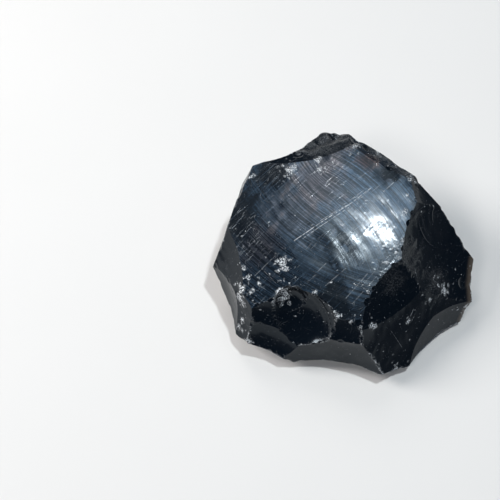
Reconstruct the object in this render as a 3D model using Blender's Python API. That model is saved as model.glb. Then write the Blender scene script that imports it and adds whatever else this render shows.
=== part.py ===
"""A chunk of obsidian, broken out of a larger block by hard blows.

The stone is what is left inside a ring of flake scars. Each scar is part of a ball: where a flake
was struck off, the ball lies outside the stone and leaves a hollow, and where the old skin of the
block is left, the ball lies inside and the face bulges. Two scars meet in a sharp ridge. The
surface is found by looking out from the heart of the stone in every direction, to the first scar.

Lengths are in millimetres up to the last step, which writes the mesh in metres. +Z is up, +X is
the stone's longest way, and the stone rests on the flat cut at z = 0.
"""
import math
from dataclasses import dataclass

import bmesh
import bpy
import numpy as np

NODE_NAME = "obsidian_chunk"
MILLIMETRE = 0.001

# The point inside the stone that every part of its surface can be seen from.
HEART = (-4.0, 0.0, 10.0)
# Half the stone's width, depth and height, by which the ball that it is made from is stretched.
HALF_SIZE = (41.0, 38.0, 16.5)
# Each level has four times the triangles of the one before; level 7 has 81,920.
SPHERE_LEVEL = 7
TRIANGLES = 9200

GLASS_COLOUR = (0.012, 0.014, 0.018, 1.0)
GLASS_ROUGHNESS = 0.08
GLASS_IOR = 1.5

# Nicks along the ridges: how many, how round and how deep they are.
NICK_COUNT = 70
NICK_RADIUS = (2.5, 6.0)
NICK_DEPTH = (0.25, 0.8)
NICK_LOWEST = 4.0
NICK_SEED = 11

# A line that comes nearer to a flat face than this, per millimetre of its run, will meet it.
LEAST_SLOPE = 1e-9
# How many times an edge is halved to find where it crosses a ridge.
HALVINGS = 18
# How many times the mesh's points are moved to the middle of their neighbours.
SPREAD_PASSES = 24
# How small a triangle may get when its corners are pulled to a ridge, as a share of what it was,
# and how many times the mesh is searched for ones that got smaller than that.
LEAST_SHARE = 0.1
FOLD_PASSES = 6


@dataclass(frozen=True)
class Scar:
    """A face of the stone, given by three points of its surface and how hollow it is.

    A hollow above zero is how deep the face dips below the three points' own circle, a hollow
    below zero is how far it bulges above it, and zero is a flat face.
    """

    name: str
    first: tuple
    second: tuple
    third: tuple
    hollow: float


SCARS = (
    # The broad old face on top, and what slopes off it to the west.
    Scar("great_face", (-33.5, -10.5, 22.5), (18.5, 15.0, 31.0), (-6.0, -25.5, 21.5), -3.0),
    Scar("west_shoulder", (-33.5, 9.0, 27.0), (-15.0, -16.5, 24.0), (-32.5, -15.0, 19.5), -0.8),
    Scar("northwest_bevel", (-30.5, 20.5, 29.5), (-33.5, 9.0, 25.5), (-36.0, 14.0, 20.5), 0.2),
    Scar("west_lens", (-37.0, 3.0, 22.5), (-33.5, -14.5, 18.5), (-37.5, -5.5, 17.0), 0.9),
    Scar("west_wall", (-39.0, -1.0, 17.0), (-35.5, -15.0, 14.5), (-41.0, -6.0, 8.5), 0.5),
    # The south side: a deep bowl, a brow beside it and the wall below both.
    Scar("south_bowl", (-14.5, -18.0, 21.5), (-6.0, -24.5, 21.5), (-9.0, -31.5, 14.0), 2.2),
    Scar("south_trough", (-31.0, -22.5, 17.5), (-21.0, -21.0, 20.5), (-18.5, -29.5, 13.0), 0.9),
    Scar("southwest_band", (-28.5, -25.0, 12.5), (-15.5, -30.0, 13.0), (-24.5, -31.0, 5.5), 1.2),
    Scar("southwest_corner", (-33.5, -17.0, 17.0), (-30.5, -24.0, 13.5), (-34.5, -25.0, 6.0), 0.4),
    Scar("south_wall", (-15.5, -30.5, 13.5), (0.5, -32.0, 17.5), (8.5, -37.5, 6.0), 2.0),
    Scar("south_brow", (-6.0, -26.0, 21.5), (2.5, -28.5, 21.5), (-2.5, -31.0, 16.0), 0.4),
    # The east side: a long hollow face, a valley, and the broad apron under its ridge.
    Scar("apron", (1.0, -31.5, 19.0), (19.0, -19.0, 17.0), (10.5, -37.5, 6.0), 0.5),
    Scar("valley", (11.5, -11.5, 26.5), (3.5, -24.5, 22.5), (19.0, -19.0, 17.0), 0.1),
    Scar("east_hollow", (15.5, -4.0, 28.0), (40.0, -2.5, 10.0), (29.5, -13.0, 13.0), 2.4),
    Scar("southeast_face", (20.5, -18.5, 16.5), (16.0, -31.0, 8.5), (37.5, -12.0, 9.0), 0.6),
    Scar("southeast_scoop", (19.0, -31.0, 6.0), (23.0, -23.0, 9.5), (34.5, -16.5, 7.0), 1.5),
    Scar("northeast_strip", (1.5, 27.0, 33.0), (18.5, 15.5, 31.5), (13.0, 26.5, 29.0), 0.3),
    Scar("northeast_face", (19.0, 15.0, 31.0), (28.0, 10.0, 22.0), (23.5, 17.5, 26.0), 0.5),
    # Two steps down to the north, and the walls that go on from them to the underside.
    Scar("north_upper_step", (-17.0, 23.0, 31.0), (1.0, 26.5, 33.0), (-7.0, 28.0, 31.0), 0.4),
    Scar("north_lower_step", (-15.0, 27.0, 30.0), (-0.5, 32.0, 30.5), (-5.0, 37.5, 26.0), 0.4),
    Scar("north_wall_west", (-28.5, 23.0, 30.5), (-6.5, 36.5, 26.0), (-23.0, 27.0, 0.0), 6.0),
    Scar("north_wall_east", (-4.0, 36.5, 26.0), (11.5, 25.5, 28.5), (2.5, 29.5, 0.0), 3.8),
    Scar("northeast_wall", (11.0, 26.0, 28.5), (25.0, 13.5, 23.5), (16.5, 18.0, 0.0), 0.7),
    Scar("northwest_wall", (-36.5, 14.5, 19.5), (-29.5, 22.5, 29.5), (-33.0, 18.5, 0.0), 0.3),
    # The undercut all round, between the widest line of the stone and its seat.
    Scar("under_east", (26.0, 14.5, 23.5), (40.0, 0.0, 10.5), (28.5, 3.0, 0.0), 0.4),
    Scar("under_east_rim", (40.5, -0.5, 9.5), (40.0, -12.0, 7.5), (31.5, -6.0, 0.0), 0.4),
    Scar("under_southeast_rim", (40.5, -12.5, 7.5), (37.5, -19.5, 3.0), (35.0, -13.5, 0.0), 0.4),
    Scar("under_southeast", (37.5, -20.0, 3.0), (20.5, -31.5, 3.0), (26.5, -21.5, 0.0), 1.4),
    Scar("under_toe", (17.0, -35.5, 4.0), (8.5, -38.0, 5.5), (11.5, -32.0, 0.0), 0.3),
    Scar("under_south", (-18.0, -32.0, 2.5), (8.0, -38.0, 5.5), (-3.0, -26.0, 0.0), 1.6),
    Scar("under_southwest", (-32.5, -26.5, 6.0), (-18.5, -32.0, 3.5), (-24.0, -24.5, 0.0), 0.4),
    Scar("under_west_corner", (-35.5, -23.0, 6.5), (-37.5, -15.5, 8.0), (-32.0, -18.5, 0.0), 0.3),
    Scar("under_west", (-39.5, -10.0, 8.5), (-41.0, -3.0, 10.0), (-34.5, -5.5, 0.0), 0.3),
    Scar("under_northwest", (-40.5, -2.0, 11.0), (-36.5, 14.5, 19.0), (-36.0, 5.5, 0.0), 5.0),
    Scar("seat", (-10.0, 0.0, 0.0), (10.0, 0.0, 0.0), (0.0, 10.0, 0.0), 0.0),
)

# Deep pits: the middle of the ball that each one was cut by, and its radius.
PITS = (
    ((-18.5, -22.0, 20.6), 5.0),
    ((3.6, 34.5, 30.0), 3.4),
    ((31.0, -14.0, 14.8), 2.4),
)


@dataclass(frozen=True)
class Surface:
    """One scar as a plane or a ball, ready to be met by lines from the heart."""

    centre: np.ndarray
    radius: float
    normal: np.ndarray
    bulges: bool

    def distance(self, directions):
        """How far each line from the heart runs before it meets this surface."""
        offset = self.centre - np.array(HEART)
        if self.radius == 0.0:
            slope = directions @ self.normal
            ahead = slope > LEAST_SLOPE
            return np.where(ahead, (offset @ self.normal) / np.where(ahead, slope, 1.0), np.inf)
        along = directions @ offset
        inside = along ** 2 - (offset @ offset - self.radius ** 2)
        half = np.sqrt(np.maximum(inside, 0.0))
        if self.bulges:
            return along + half
        return np.where((inside > 0.0) & (along > 0.0), along - half, np.inf)


def surface_of(scar):
    """The plane or ball that holds a scar's three points with the hollow that it states."""
    first, second, third = (np.array(point) for point in (scar.first, scar.second, scar.third))
    normal = np.cross(second - first, third - first)
    normal /= np.linalg.norm(normal)
    if normal @ (first - np.array(HEART)) < 0.0:
        normal = -normal
    if scar.hollow == 0.0:
        return Surface(first, 0.0, normal, False)
    sides = np.array([second - first, third - first, normal])
    halves = np.array([sides[0] @ sides[0], sides[1] @ sides[1], 0.0]) / 2.0
    to_middle = np.linalg.solve(sides, halves)
    depth = abs(scar.hollow)
    radius = (to_middle @ to_middle + depth ** 2) / (2.0 * depth)
    lift = math.copysign(radius - depth, scar.hollow)
    return Surface(first + to_middle + normal * lift, radius, normal, scar.hollow < 0.0)


def bite(middle, radius):
    """A round bite out of the stone, as a surface."""
    return Surface(np.array(middle), radius, np.array((0.0, 0.0, 1.0)), False)


def reach(directions, surfaces):
    """The distance from the heart to the stone's skin, and which surface it lies on."""
    distances = np.stack([surface.distance(directions) for surface in surfaces])
    nearest = distances.argmin(axis=0)
    return distances.min(axis=0), nearest


def unit(vectors):
    """The same vectors with a length of one."""
    return vectors / np.linalg.norm(vectors, axis=1, keepdims=True)


def skin_points(directions, surfaces):
    """The places where the lines from the heart meet the stone's skin."""
    return directions * reach(directions, surfaces)[0][:, None] + np.array(HEART)


def spread_evenly(directions, edges, surfaces):
    """Move the points until they lie about evenly over the skin, steep places as well."""
    count = np.bincount(edges.ravel(), minlength=len(directions))[:, None]
    for _ in range(SPREAD_PASSES):
        skin = skin_points(directions, surfaces)
        total = np.zeros_like(skin)
        np.add.at(total, edges[:, 0], skin[edges[:, 1]])
        np.add.at(total, edges[:, 1], skin[edges[:, 0]])
        directions = unit(total / count - np.array(HEART))
    return directions


def ridge_crossings(directions, edges, owners, surfaces):
    """Where the edges that join two different scars cross the ridge between them.

    Returns the crossing edges, the direction of each crossing, and its place along the edge.
    """
    crossing = edges[owners[edges[:, 0]] != owners[edges[:, 1]]]
    start = directions[crossing[:, 0]]
    end = directions[crossing[:, 1]]
    start_owner = owners[crossing[:, 0]]
    low = np.zeros(len(crossing))
    high = np.ones(len(crossing))
    for _ in range(HALVINGS):
        middle = (low + high) / 2.0
        point = unit(start + (end - start) * middle[:, None])
        same = reach(point, surfaces)[1] == start_owner
        low = np.where(same, middle, low)
        high = np.where(same, high, middle)
    place = (low + high) / 2.0
    return crossing, unit(start + (end - start) * place[:, None]), place


def pull_to_ridges(directions, edges, faces, surfaces):
    """Move the nearer end of each crossing edge onto the ridge, so that ridges stay sharp.

    Where that would turn a triangle over, the triangle's corners stay where they were.
    """
    owners = reach(directions, surfaces)[1]
    crossing, points, place = ridge_crossings(directions, edges, owners, surfaces)
    nearer = np.where(place < 0.5, crossing[:, 0], crossing[:, 1])
    closeness = np.minimum(place, 1.0 - place)
    moved = directions.copy()
    for index in np.argsort(-closeness):
        moved[nearer[index]] = points[index]
    corners = directions[faces]
    least = LEAST_SHARE * np.linalg.det(corners)
    for _ in range(FOLD_PASSES):
        folded = np.linalg.det(moved[faces]) < least
        moved[faces[folded]] = corners[folded]
    return moved


def nicks(directions, edges, surfaces):
    """Small bites at places picked along the ridges, each facing straight out of its ridge."""
    owners = reach(directions, surfaces)[1]
    crossing, points, _ = ridge_crossings(directions, edges, owners, surfaces)
    places = skin_points(points, surfaces)
    high_enough = np.flatnonzero(places[:, 2] > NICK_LOWEST)
    dice = np.random.default_rng(NICK_SEED)
    bites = []
    for index in dice.choice(high_enough, NICK_COUNT, replace=False):
        radius = dice.uniform(*NICK_RADIUS)
        depth = dice.uniform(*NICK_DEPTH)
        outward = np.zeros(3)
        for owner in owners[crossing[index]]:
            outward += normal_at(surfaces[owner], places[index])
        outward /= np.linalg.norm(outward)
        bites.append(bite(places[index] + outward * (radius - depth), radius))
    return bites


def normal_at(surface, place):
    """The direction straight out of the stone at a place on one surface."""
    if surface.radius == 0.0:
        return surface.normal
    outward = surface.centre - place
    if surface.bulges:
        outward = -outward
    return outward / np.linalg.norm(outward)


def sphere_mesh():
    """A closed ball of even triangles as a mesh, which is then drawn out to the stone."""
    work = bmesh.new()
    bmesh.ops.create_icosphere(work, subdivisions=SPHERE_LEVEL, radius=1.0)
    mesh = bpy.data.meshes.new(NODE_NAME)
    work.to_mesh(mesh)
    work.free()
    return mesh


def read_array(items, name, width, kind):
    """One property of all of a mesh's items, as an array."""
    values = np.empty(len(items) * width, dtype=kind)
    items.foreach_get(name, values)
    return values.reshape(-1, width)


def over_origin(skin):
    """The same skin with the middle of its width and depth over the origin."""
    middle = (skin.min(axis=0) + skin.max(axis=0)) / 2.0
    return skin - middle * np.array((1.0, 1.0, 0.0))


def glass_material():
    """Black volcanic glass."""
    material = bpy.data.materials.new("black_glass")
    material.use_nodes = True
    shader = material.node_tree.nodes["Principled BSDF"]
    shader.inputs["Base Color"].default_value = GLASS_COLOUR
    shader.inputs["Roughness"].default_value = GLASS_ROUGHNESS
    shader.inputs["Metallic"].default_value = 0.0
    shader.inputs["IOR"].default_value = GLASS_IOR
    return material


def build_chunk():
    """Shape the whole stone as one closed mesh and put it in the scene."""
    mesh = sphere_mesh()
    corners = read_array(mesh.vertices, "co", 3, np.float32).astype(float)
    edges = read_array(mesh.edges, "vertices", 2, np.int32)
    faces = read_array(mesh.polygons, "vertices", 3, np.int32)
    directions = unit(corners * np.array(HALF_SIZE))

    surfaces = [surface_of(scar) for scar in SCARS]
    surfaces += [bite(middle, radius) for middle, radius in PITS]
    surfaces += nicks(directions, edges, surfaces)

    directions = spread_evenly(directions, edges, surfaces)
    directions = pull_to_ridges(directions, edges, faces, surfaces)
    skin = over_origin(skin_points(directions, surfaces)) * MILLIMETRE
    mesh.vertices.foreach_set("co", skin.astype(np.float32).ravel())
    mesh.update()
    mesh.materials.append(glass_material())

    chunk = bpy.data.objects.new(NODE_NAME, mesh)
    bpy.context.scene.collection.objects.link(chunk)
    thin_out = chunk.modifiers.new("fewer_triangles", "DECIMATE")
    thin_out.decimate_type = "COLLAPSE"
    thin_out.ratio = TRIANGLES / len(mesh.polygons)
    thin_out.use_collapse_triangulate = True
    return chunk


def main():
    """Clear the scene and build the stone."""
    for item in list(bpy.data.objects):
        bpy.data.objects.remove(item, do_unlink=True)
    build_chunk()


main()
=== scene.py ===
"""A chunk of black obsidian lying on a pale floor.

The stone's form is the set of flake scars that hard blows left on it. Each scar is part of a ball,
met by lines that run out from the heart of the stone. On that form lie the smaller things: chips
along the ridges, rings where a blow stopped and started, the frosted and scratched old face with its
painted sheen, white crushed glass, sharp ridges painted white partly as wear and partly as glints,
and the thin edge that lets brown light through.

Lengths are in millimetres up to the last step, which writes the mesh in metres.
"""

import logging
import math
from collections.abc import Iterator
from dataclasses import dataclass, field
from enum import Enum
from functools import partial, reduce

import bpy
import numpy as np
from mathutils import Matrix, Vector
from mathutils.kdtree import KDTree

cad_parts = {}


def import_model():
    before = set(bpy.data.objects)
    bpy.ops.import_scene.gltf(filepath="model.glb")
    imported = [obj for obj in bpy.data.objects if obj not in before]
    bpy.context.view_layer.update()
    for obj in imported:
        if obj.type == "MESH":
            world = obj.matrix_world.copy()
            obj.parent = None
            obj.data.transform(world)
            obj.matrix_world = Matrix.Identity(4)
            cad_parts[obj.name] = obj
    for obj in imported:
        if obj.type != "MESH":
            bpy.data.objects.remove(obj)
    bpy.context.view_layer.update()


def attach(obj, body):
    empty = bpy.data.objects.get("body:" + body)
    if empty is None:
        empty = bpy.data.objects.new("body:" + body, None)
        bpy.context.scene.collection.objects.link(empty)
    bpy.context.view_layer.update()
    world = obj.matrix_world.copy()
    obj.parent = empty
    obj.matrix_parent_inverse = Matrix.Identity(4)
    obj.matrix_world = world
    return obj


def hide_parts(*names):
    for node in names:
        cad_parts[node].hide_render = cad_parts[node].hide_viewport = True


LOG = logging.getLogger("obsidian")
MILLIMETRE = 0.001
# A slope or a length below this counts as none.
TINY = 1e-9
# How many decimals tell two points of the cube apart.
DECIMALS = 6
# A direction that no face of the stone looks in.
ASKEW = (0.3, 0.5, 0.81)
# How many times shorter than the longest the waves of a swell are.
WAVE_RANGE = (1.0, 2.4)
# Where a scratch and a speck are at full strength, as a share of their width.
SCRATCH_CORE = 0.4
SPECK_EDGE = 0.3
# How much of the fine relief is felt.
BUMP_STRENGTH = 0.8

Point = tuple[float, float, float]
Spot = tuple[float, float]
Span = tuple[float, float]
Colour = tuple[float, float, float, float]
Socket = bpy.types.NodeSocket
Feed = Socket | float | tuple | Vector


class Skin(Enum):
    """How frosted a scar's surface is, from fresh glass to the old scoured face."""

    FRESH = 0.0
    DULL = 0.35
    WORN = 0.7
    FROSTED = 1.0


class Side(Enum):
    """Which side of its face a scar's ball lies on."""

    FLAT = 0
    HOLLOW = 1
    BULGE = -1


@dataclass(frozen=True)
class Scar:
    """A face of the stone, by three points of it and how far it dips below them.

    Attributes:
        name: What the face is called.
        first: A point of the face, in millimetres.
        second: Another point of it.
        third: A third point of it.
        hollow: Depth below the circle of the three points; below zero the face bulges.
        skin: How frosted the face is.
    """

    name: str
    first: Point
    second: Point
    third: Point
    hollow: float
    skin: Skin = Skin.FRESH


@dataclass(frozen=True)
class Pit:
    """A deep round pit, by the ball that it was cut by.

    Attributes:
        name: What the pit is called.
        middle: The middle of the ball, in millimetres.
        radius: Its radius.
    """

    name: str
    middle: Point
    radius: float


@dataclass(frozen=True)
class Ring:
    """A ripple in a scar, part of a circle about the place that was struck.

    Attributes:
        scar: Name of the scar or the pit that the ring lies in.
        centre: The middle of the circle, in millimetres.
        radius: How far out the ring's crest is.
        width: How wide the crest is.
        height: How high the crest stands.
        facing: The way to the middle of the part of the circle that shows, in degrees.
        span: Half the angle that the ring runs through, in degrees.
    """

    scar: str
    centre: Point
    radius: float
    width: float
    height: float
    facing: float
    span: float


@dataclass(frozen=True)
class Crush:
    """A place where the glass was crushed white.

    Attributes:
        place: Where it is, in millimetres.
        radius: How far the white reaches.
    """

    place: Point
    radius: float


class Tint(Enum):
    """What a patch of the stone's surface shows."""

    # Pale haze of the frosted faces, partly their own frost and partly painted sheen, with a painted glow
    # and highlight spot by the lamp's highlight.
    HAZE_AND_SHEEN = "haze_and_sheen"
    # A warmer grey on the frosted faces, partly their own tone and partly painted sheen.
    PLUM_SHEEN = "plum_sheen"
    RUST = "rust"
    GRAIN = "grain"


@dataclass(frozen=True)
class Patch:
    """A soft round patch in which the surface looks otherwise.

    Attributes:
        place: Its middle, in millimetres.
        radius: How far it reaches.
        strength: How strong it is; below zero it takes away.
    """

    place: Point
    radius: float
    strength: float


@dataclass(frozen=True)
class Scratch:
    """A straight scratch, as seen from straight above.

    Attributes:
        start: Where it starts, in millimetres.
        end: Where it ends.
        width: How wide it is.
        strength: How white it is.
    """

    start: Spot
    end: Spot
    width: float
    strength: float


@dataclass(frozen=True)
class Mound:
    """A soft round swelling of the skin.

    Attributes:
        place: Its middle, in millimetres.
        radius: How wide it is.
        height: How high it stands; below zero it is a dip.
    """

    place: Point
    radius: float
    height: float


@dataclass(frozen=True)
class Flake:
    """A small flake that came off, as a round bite that touches the skin.

    Attributes:
        place: Where it came off, in millimetres.
        radius: The radius of the bite.
        depth: How deep it goes.
    """

    place: Point
    radius: float
    depth: float


@dataclass(frozen=True)
class Swell:
    """Smooth uneven swells, as a sum of plane waves.

    Attributes:
        height: How high they are.
        wave: How long the longest waves are, in millimetres.
        seed: Which swells.
        count: How many waves are added.
    """

    height: float
    wave: float
    seed: int
    count: int = 9

    def at(self, points: np.ndarray) -> np.ndarray:
        """The height of the swells.

        Args:
            points: Where to look them up, in millimetres.

        Returns:
            A height at each point.
        """
        dice = np.random.default_rng(self.seed)
        total = np.zeros(len(points))
        for _ in range(self.count):
            heading = unit(dice.normal(size=3)) * dice.uniform(*WAVE_RANGE) * math.tau / self.wave
            total += np.sin(points @ heading + dice.uniform(0.0, math.tau))
        return self.height * (total / math.sqrt(self.count))


@dataclass(frozen=True)
class Ripple:
    """Even ripples about a blow.

    Attributes:
        height: How high they are, in millimetres.
        length: How far it is from crest to crest.
    """

    height: float
    length: float

    def at(self, away: np.ndarray) -> np.ndarray:
        """The height of the ripples at each distance from the blow."""
        return self.height * np.sin(math.tau * away / self.length)


@dataclass(frozen=True)
class Step:
    """A soft step between two values.

    Attributes:
        start: Where the step starts.
        end: Where it ends; when that is below the start, the two are met from above.
        bottom: What comes out at the start.
        top: What comes out at the end.
    """

    start: float
    end: float
    bottom: float = 0.0
    top: float = 1.0


@dataclass(frozen=True)
class Noise:
    """Soft noise of a material.

    Attributes:
        scale: How many swells there are to one unit of the place.
        detail: How many finer layers it has.
        roughness: How strong those layers are.
        step: A soft step that it is drawn out by.
    """

    scale: float = 1.0
    detail: float = 2.0
    roughness: float = 0.5
    step: Step | None = None


@dataclass(frozen=True)
class Specks:
    """Small round specks of a material, one to a cell at most.

    Attributes:
        scale: How many cells there are to a millimetre.
        size: How big the biggest speck is, as a share of its cell.
        bare: The share of the cells that have none.
        strength: How white they are.
    """

    scale: float
    size: float
    bare: float
    strength: float


@dataclass(frozen=True)
class Lamp:
    """A round soft lamp that looks at the stone.

    Attributes:
        name: What it is called.
        place: Where it hangs, in millimetres.
        size: How wide it is.
        watts: How strong it is.
        colour: The colour of its light.
        mirrored: Whether the glass mirrors it.
    """

    name: str
    place: Point
    size: float
    watts: float
    colour: Point
    mirrored: bool = True


def rows_of(kind: type, *rows: tuple[float, ...]) -> tuple:
    """Things of one kind, from rows of the three numbers of a place and then the other fields."""
    return tuple(kind(row[:3], *row[3:]) for row in rows)


# The faces of the stone, from the top down to the seat.
SCARS = (
    Scar("great_face", (-33.5, -10.5, 22.5), (18.5, 15.0, 31.0), (-6.0, -25.5, 21.5), -3.0, Skin.FROSTED),
    Scar("west_shoulder", (-33.5, 9.0, 27.0), (-15.0, -16.5, 24.0), (-32.5, -15.0, 19.5), -0.4, Skin.WORN),
    Scar("northwest_bevel", (-30.5, 20.1, 28.8), (-36.9, 7.3, 25.6), (-36.3, 14.0, 21.0), 0.2, Skin.DULL),
    Scar("west_lens", (-37.3, 1.6, 23.0), (-33.5, -14.5, 18.5), (-37.9, -5.5, 17.2), 0.8),
    Scar("west_notch", (-36.7, 5.5, 24.2), (-40.0, -0.9, 16.5), (-37.9, 11.0, 6.0), 0.3, Skin.DULL),
    Scar("west_wall", (-40.2, -6.3, 14.7), (-35.1, -15.1, 16.5), (-38.7, -11.2, 9.0), 0.3),
    Scar("south_bowl", (-13.5, -19.2, 21.2), (-6.2, -24.5, 21.4), (-8.5, -31.2, 14.2), 2.0),
    Scar("south_trough", (-31.0, -22.5, 16.8), (-21.0, -21.0, 19.4), (-18.5, -29.5, 12.4), 1.6),
    Scar("southwest_band", (-28.5, -25.0, 12.5), (-15.5, -30.0, 13.0), (-24.5, -31.0, 5.5), 1.2),
    Scar("southwest_corner", (-33.5, -17.0, 17.0), (-30.5, -24.0, 13.5), (-34.5, -25.0, 6.0), 0.4),
    Scar("south_wall", (-15.5, -30.5, 13.5), (0.5, -32.0, 17.5), (8.5, -37.5, 6.0), 2.0),
    Scar("south_brow", (-6.0, -26.0, 21.5), (2.5, -28.5, 21.5), (-2.5, -31.0, 16.0), 0.4),
    Scar("apron", (1.0, -31.5, 19.0), (19.0, -19.0, 16.6), (10.5, -37.5, 6.0), 0.4),
    Scar("valley", (11.5, -11.5, 26.5), (2.5, -24.5, 22.5), (19.0, -19.5, 16.6), 0.6),
    Scar("east_hollow", (15.5, -4.0, 28.0), (40.0, -2.5, 10.0), (29.5, -13.0, 13.0), 1.3),
    Scar("southeast_face", (20.5, -18.5, 16.5), (16.6, -31.2, 8.9), (37.5, -12.6, 9.4), 0.6),
    Scar("southeast_scoop", (19.0, -31.2, 5.6), (23.5, -24.2, 8.3), (34.5, -17.6, 5.6), 1.9),
    Scar("northeast_strip", (1.5, 27.0, 33.0), (18.5, 15.5, 31.5), (13.0, 26.5, 29.0), 0.3, Skin.DULL),
    Scar("northeast_face", (19.0, 15.0, 31.0), (28.0, 10.0, 24.3), (23.5, 17.5, 27.5), 0.3),
    Scar("north_upper_step", (-17.0, 23.0, 31.0), (1.0, 26.5, 33.0), (-7.0, 28.0, 31.0), 0.4),
    Scar("north_lower_step", (-15.0, 27.0, 30.0), (-0.5, 32.0, 30.5), (-5.0, 37.5, 26.0), 0.4),
    Scar("north_wall_west", (-28.5, 23.0, 30.5), (-6.5, 36.5, 26.0), (-23.0, 27.0, 0.0), 6.0),
    Scar("north_wall_east", (-4.0, 36.5, 26.0), (11.5, 25.5, 28.5), (2.5, 29.5, 0.0), 3.8),
    Scar("northeast_wall", (11.0, 26.0, 28.5), (25.0, 13.5, 23.5), (16.5, 18.0, 0.0), 0.7),
    Scar("northwest_wall", (-36.5, 14.5, 19.5), (-29.5, 22.5, 29.5), (-33.0, 18.5, 0.0), 0.3),
    Scar("under_east", (26.0, 14.5, 23.5), (40.0, 0.0, 10.5), (28.5, 3.0, 0.0), 0.4),
    Scar("under_east_rim", (40.5, -0.5, 9.5), (40.0, -12.0, 7.5), (31.5, -6.0, 0.0), 0.4),
    Scar("under_southeast_rim", (40.5, -12.5, 7.5), (37.5, -19.5, 3.0), (35.0, -13.5, 0.0), 0.4),
    Scar("under_southeast", (37.5, -20.0, 3.0), (20.5, -31.5, 3.0), (26.5, -21.5, 0.0), 1.4),
    Scar("under_toe", (17.0, -35.5, 4.0), (8.5, -38.0, 5.5), (11.5, -32.0, 0.0), 0.3),
    Scar("under_south", (-18.0, -32.0, 2.5), (8.0, -38.0, 5.5), (-3.0, -26.0, 0.0), 1.6),
    Scar("under_southwest", (-32.5, -26.5, 6.0), (-18.5, -32.0, 3.5), (-24.0, -24.5, 0.0), 0.4),
    Scar("under_west_corner", (-35.5, -23.0, 6.5), (-37.5, -15.5, 8.0), (-32.0, -18.5, 0.0), 0.3),
    Scar("under_west", (-39.5, -10.0, 8.5), (-41.0, -3.0, 10.0), (-34.5, -5.5, 0.0), 0.3),
    Scar("under_northwest", (-40.5, -2.0, 11.0), (-36.5, 14.5, 19.0), (-36.0, 5.5, 0.0), 5.0),
    Scar("seat", (-10.0, 0.0, 0.0), (10.0, 0.0, 0.0), (0.0, 10.0, 0.0), 0.0, Skin.DULL),
)

# Deep round pits in those faces.
PITS = (
    Pit("cone_pit", (-18.5, -22.4, 21.8), 5.8),
    Pit("north_pit", (3.6, 35.5, 31.0), 3.4),
    Pit("east_pit", (31.0, -14.0, 14.8), 2.4),
)

# Ripples that stand out, each about the place that was struck.
RINGS = (
    Ring("east_hollow", (28.7, 8.7, 21.4), 10.6, 0.3, 0.13, 265.0, 62.0),
    Ring("east_hollow", (28.7, 8.7, 21.4), 9.2, 0.9, 0.07, 265.0, 75.0),
    Ring("east_hollow", (28.7, 8.7, 21.4), 4.4, 0.28, 0.1, 190.0, 50.0),
    Ring("east_hollow", (28.7, 8.7, 21.4), 6.2, 0.8, 0.04, 220.0, 80.0),
    Ring("cone_pit", (-19.3, -19.2, 16.8), 1.3, 0.25, 0.08, 270.0, 180.0),
    Ring("cone_pit", (-19.3, -19.2, 16.8), 2.2, 0.25, 0.06, 270.0, 180.0),
    Ring("cone_pit", (-19.3, -19.2, 16.8), 3.1, 0.3, 0.06, 300.0, 120.0),
    Ring("south_bowl", (-20.2, -24.9, 12.6), 15.0, 0.3, 0.12, 10.0, 45.0),
    Ring("south_bowl", (-20.2, -24.9, 12.6), 13.2, 0.6, 0.07, 5.0, 50.0),
    Ring("south_bowl", (-20.2, -24.9, 12.6), 11.2, 0.8, 0.06, 0.0, 50.0),
)

# Where the glass is crushed white: place and radius.
CRUSHES = rows_of(
    Crush,
    (-20.9, -9.8, 25.2, 1.5), (-20.3, -11.3, 24.8, 1.1), (-32.3, -9.7, 21.7, 0.6),
    (-31.1, -13.0, 20.8, 0.7), (-33.2, -15.6, 18.5, 1.4), (-33.5, -17.3, 16.4, 1.3),
    (-32.6, -19.0, 15.8, 0.9), (-27.8, -14.8, 21.2, 0.6), (-20.8, -17.4, 20.9, 1.5),
    (-19.6, -17.6, 19.5, 1.2), (-20.2, -18.6, 18.2, 1.1), (-18.8, -19.4, 17.2, 0.6),
    (-30.2, -17.0, 19.4, 0.6), (-11.2, -19.0, 22.9, 0.6), (-4.9, -25.7, 21.5, 0.8),
    (-33.0, -22.2, 11.0, 0.8), (-33.9, -23.4, 8.3, 0.8), (-30.8, -28.2, 7.8, 0.9),
    (29.7, -12.9, 12.9, 1.4), (4.3, -18.9, 24.2, 0.6), (5.9, -27.4, 18.6, 1.0), (-0.8, -27.1, 21.0, 0.6),
    (17.6, -24.0, 12.9, 0.7), (24.7, -17.0, 14.3, 0.7), (37.6, -14.9, 6.0, 0.8), (14.2, -35.8, 4.8, 0.8),
    (2.6, 27.6, 32.3, 0.8), (9.7, 26.5, 30.1, 0.7), (19.0, 16.2, 31.1, 0.9), (20.2, 16.1, 29.6, 0.7),
    (16.4, 5.1, 29.9, 0.7), (15.3, -3.9, 28.1, 0.5), (13.0, -7.6, 27.3, 0.6), (9.9, -10.6, 26.7, 0.5),
    (17.5, 10.5, 30.6, 0.5), (-18.1, 19.5, 31.1, 1.2), (-16.6, 20.4, 31.3, 0.8), (-9.4, 22.1, 32.1, 0.9),
    (-9.2, 18.9, 32.0, 0.7), (-30.5, 18.5, 28.7, 0.7), (-36.7, 4.3, 21.4, 0.8),
)

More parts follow.
